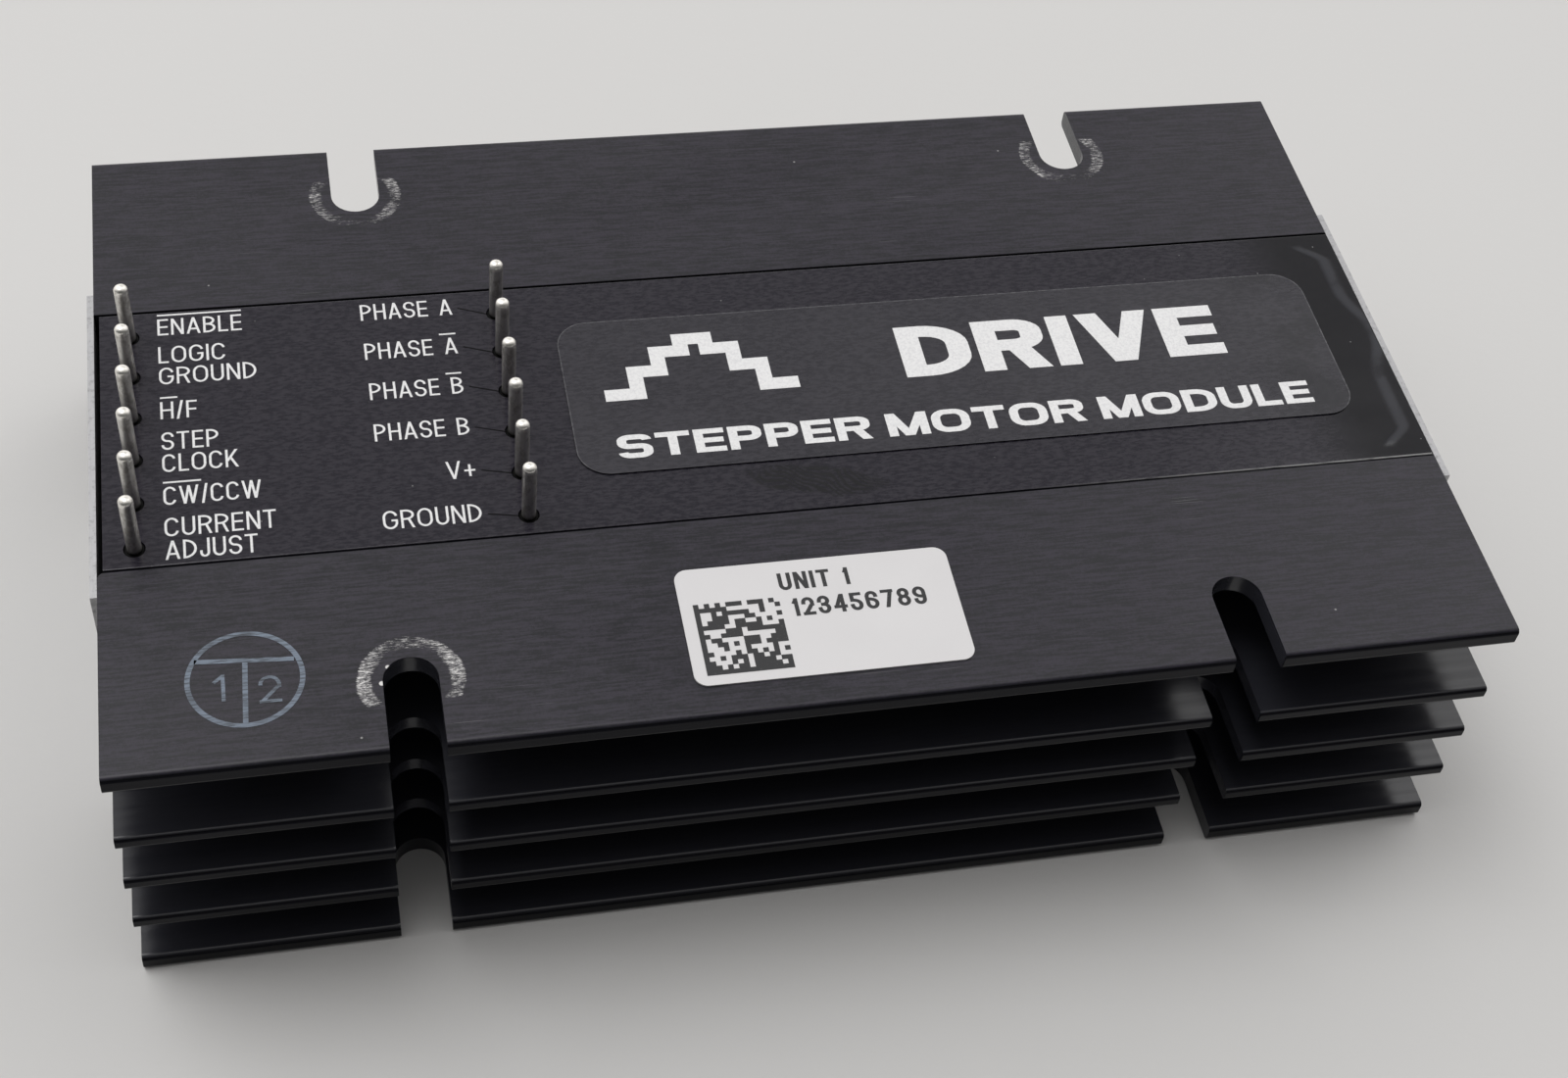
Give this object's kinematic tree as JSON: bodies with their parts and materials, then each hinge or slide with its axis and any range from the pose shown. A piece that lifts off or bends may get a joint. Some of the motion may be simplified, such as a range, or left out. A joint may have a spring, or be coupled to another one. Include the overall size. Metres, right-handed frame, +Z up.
{
  "type": "stepper driver module",
  "caption": "Finned heat-sink module with a flush cover, terminal pins on top and open mounting slots along both long edges.",
  "frame": {"origin": "centre of the underside, on the surface it rests on", "axes": "+X along the extrusion, away from the end with the logic pins; +Y across the fins; +Z up through the cover, the way the pins point"},
  "size_m": [0.1252, 0.0738, 0.0373],
  "materials": {
    "black_anodised": "satin black anodised, fine grain along the length",
    "black_cover": "smooth satin black",
    "bare_sheet": "bare sheet edge, matt",
    "label_film": "smooth printed film, slight gloss",
    "white_label": "matt white label stock",
    "tinned_pin": "bright tinned",
    "board_laminate": "green solder mask",
    "moulded_chip": "black moulding compound",
    "insulating_film": "grey silicone pad",
    "spring_steel": "plain spring strip",
    "capacitor_sleeve": "dark sleeve",
    "ceramic_chip": "matt ceramic"
  },
  "bodies": {
    "root": {"bootstrap_diodes": "moulded_chip", "bulk_capacitor_1": "capacitor_sleeve", "bulk_capacitor_2": "capacitor_sleeve", "ceramic_capacitors": "ceramic_chip", "chip_resistors": "ceramic_chip", "circuit_board": "board_laminate", "coil_a_minus_pin": "tinned_pin", "coil_a_plus_pin": "tinned_pin", "coil_b_minus_pin": "tinned_pin", "coil_b_plus_pin": "tinned_pin", "controller_chip": "moulded_chip", "cover": "black_cover", "current_set_pin": "tinned_pin", "direction_pin": "tinned_pin", "enable_pin": "tinned_pin", "gate_driver_1": "moulded_chip", "gate_driver_2": "moulded_chip", "gate_driver_3": "moulded_chip", "gate_driver_4": "moulded_chip", "ground_pin": "tinned_pin", "half_step_pin": "tinned_pin", "heat_sink": "black_anodised", "insulating_strip_front": "insulating_film", "insulating_strip_rear": "insulating_film", "left_end_plate": "bare_sheet", "logic_common_pin": "tinned_pin", "name_label": "label_film", "optocoupler_1": "moulded_chip", "optocoupler_2": "moulded_chip", "optocoupler_3": "moulded_chip", "power_transistor_a1": "moulded_chip", "power_transistor_a2": "moulded_chip", "power_transistor_a3": "moulded_chip", "power_transistor_a4": "moulded_chip", "power_transistor_b1": "moulded_chip", "power_transistor_b2": "moulded_chip", "power_transistor_b3": "moulded_chip", "power_transistor_b4": "moulded_chip", "right_end_plate": "bare_sheet", "sense_resistor_a": "ceramic_chip", "sense_resistor_b": "ceramic_chip", "serial_label": "white_label", "step_clock_pin": "tinned_pin", "supply_pin": "tinned_pin", "transistor_clips": "spring_steel", "voltage_regulator": "moulded_chip"}
  },
  "joints": []
}
